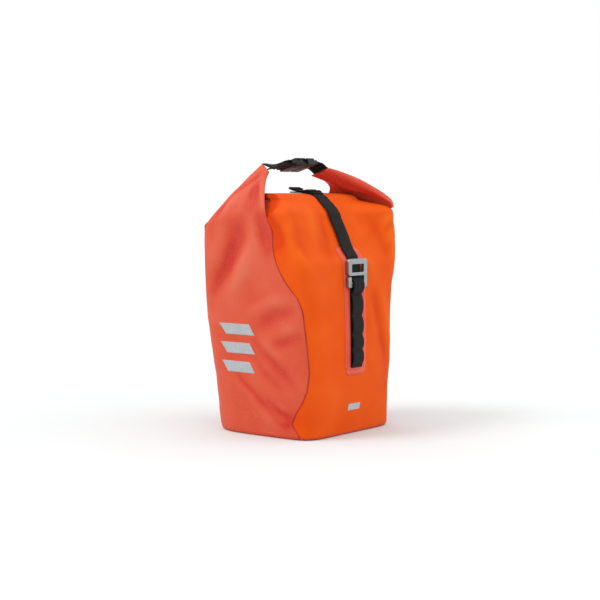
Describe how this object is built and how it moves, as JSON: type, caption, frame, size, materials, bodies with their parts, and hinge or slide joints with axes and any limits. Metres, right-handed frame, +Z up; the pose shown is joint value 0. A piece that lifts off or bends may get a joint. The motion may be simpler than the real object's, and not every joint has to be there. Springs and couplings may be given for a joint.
{
  "type": "pannier bag",
  "caption": "roll-top bicycle pannier bag of welded fabric, with a buckled carry loop, a front strap with a flat hook on a daisy chain, and rack hooks on the back",
  "frame": {"origin": "centre of the base, on the surface the bag stands on", "axes": "+Z up, the front face with the strap towards -Y, the rack side towards +Y, +X to the right of a person facing the front"},
  "size_m": [0.218, 0.2308, 0.3807],
  "materials": {
    "front_panel": "woven face, welded seams",
    "roll_closure": "woven face, welded seams",
    "side_panel_left": "smooth coated",
    "side_panel_right": "smooth coated",
    "back_panel": "smooth coated",
    "bottom_panel": "smooth coated",
    "ear_left": "smooth coated",
    "ear_right": "smooth coated",
    "webbing_left": "woven webbing",
    "webbing_right": "woven webbing",
    "daisy_chain": "woven webbing",
    "front_strap": "woven webbing",
    "strap_tail": "woven webbing",
    "release_strap": "woven webbing",
    "strap_patch": "welded film",
    "buckle_socket": "moulded, fine texture",
    "buckle_tongue": "moulded, fine texture",
    "buckle_arm_front": "moulded, fine texture",
    "buckle_arm_back": "moulded, fine texture",
    "upper_rail": "moulded, fine texture",
    "hook_left": "moulded, fine texture",
    "hook_right": "moulded, fine texture",
    "lower_rail": "moulded, fine texture",
    "release_lugs": "moulded, fine texture",
    "latch_left": "moulded, fine texture",
    "latch_right": "moulded, fine texture",
    "lower_slider": "moulded, fine texture",
    "lower_hook": "moulded, fine texture",
    "back_plate": "moulded, fine texture",
    "closure_strip": "moulded, fine texture",
    "tube_insert_left": "moulded liner",
    "tube_insert_right": "moulded liner",
    "g_hook": "anodised",
    "side_mark_left": "reflective film",
    "side_mark_right": "reflective film",
    "front_mark": "reflective film",
    "rail_screws": "zinc plated",
    "rail_washers": "zinc plated",
    "latch_pins": "zinc plated",
    "latch_springs": "zinc plated",
    "lower_rail_screws": "zinc plated",
    "pivot_screw": "zinc plated"
  },
  "bodies": {
    "bag": {"front_panel": "front_panel", "roll_closure": "roll_closure", "side_panel_left": "side_panel_left", "side_panel_right": "side_panel_right", "back_panel": "back_panel", "bottom_panel": "bottom_panel", "ear_left": "ear_left", "webbing_left": "webbing_left", "daisy_chain": "daisy_chain", "front_strap": "front_strap", "strap_tail": "strap_tail", "strap_patch": "strap_patch", "buckle_socket": "buckle_socket", "upper_rail": "upper_rail", "hook_left": "hook_left", "hook_right": "hook_right", "lower_rail": "lower_rail", "back_plate": "back_plate", "closure_strip": "closure_strip", "tube_insert_left": "tube_insert_left", "tube_insert_right": "tube_insert_right", "g_hook": "g_hook", "side_mark_left": "side_mark_left", "side_mark_right": "side_mark_right", "front_mark": "front_mark", "rail_screws": "rail_screws", "rail_washers": "rail_washers", "latch_pins": "latch_pins", "latch_springs": "latch_springs", "lower_rail_screws": "lower_rail_screws"},
    "tongue": {"ear_right": "ear_right", "webbing_right": "webbing_right", "buckle_tongue": "buckle_tongue"},
    "arm_front": {"buckle_arm_front": "buckle_arm_front"},
    "arm_back": {"buckle_arm_back": "buckle_arm_back"},
    "release": {"release_strap": "release_strap", "release_lugs": "release_lugs"},
    "latch_l": {"latch_left": "latch_left"},
    "latch_r": {"latch_right": "latch_right"},
    "slider": {"lower_slider": "lower_slider", "pivot_screw": "pivot_screw"},
    "hook_low": {"lower_hook": "lower_hook"}
  },
  "joints": [
    {"name": "buckle_release", "type": "slide", "parent": "bag", "child": "tongue", "axis": [1, 0, 0], "range_m": [0, 0.03]},
    {"name": "squeeze_front", "type": "hinge", "parent": "tongue", "child": "arm_front", "pos_m": [0.0022, -0.00699, 0.37424], "axis": [0, 0.309, 0.9511], "range_deg": [-6, 0], "stiffness_Nm_per_rad": 1},
    {"name": "squeeze_back", "type": "hinge", "parent": "tongue", "child": "arm_back", "pos_m": [0.0022, 0.01299, 0.36775], "axis": [0, 0.309, 0.9511], "range_deg": [0, 6], "stiffness_Nm_per_rad": 1},
    {"name": "release_pull", "type": "slide", "parent": "bag", "child": "release", "axis": [0, 0, 1], "range_m": [0, 0.0045], "stiffness_N_per_m": 600},
    {"name": "latch_left_turn", "type": "hinge", "parent": "bag", "child": "latch_l", "pos_m": [-0.044, 0.106, 0.251], "axis": [1, 0, 0], "range_deg": [-75, 0]},
    {"name": "latch_right_turn", "type": "hinge", "parent": "bag", "child": "latch_r", "pos_m": [0.044, 0.106, 0.251], "axis": [1, 0, 0], "range_deg": [-75, 0]},
    {"name": "lower_slide", "type": "slide", "parent": "bag", "child": "slider", "axis": [1, 0, 0], "range_m": [-0.04, 0.04]},
    {"name": "lower_swivel", "type": "hinge", "parent": "slider", "child": "hook_low", "pos_m": [0, 0.1043, 0.064], "axis": [0, 1, 0], "range_deg": [-90, 90]}
  ],
  "couplings": [
    {"joint": "squeeze_back", "follows": "squeeze_front", "ratio": -1},
    {"joint": "latch_left_turn", "follows": "release_pull", "rad_per_m": -290.88},
    {"joint": "latch_right_turn", "follows": "release_pull", "rad_per_m": -290.88}
  ]
}
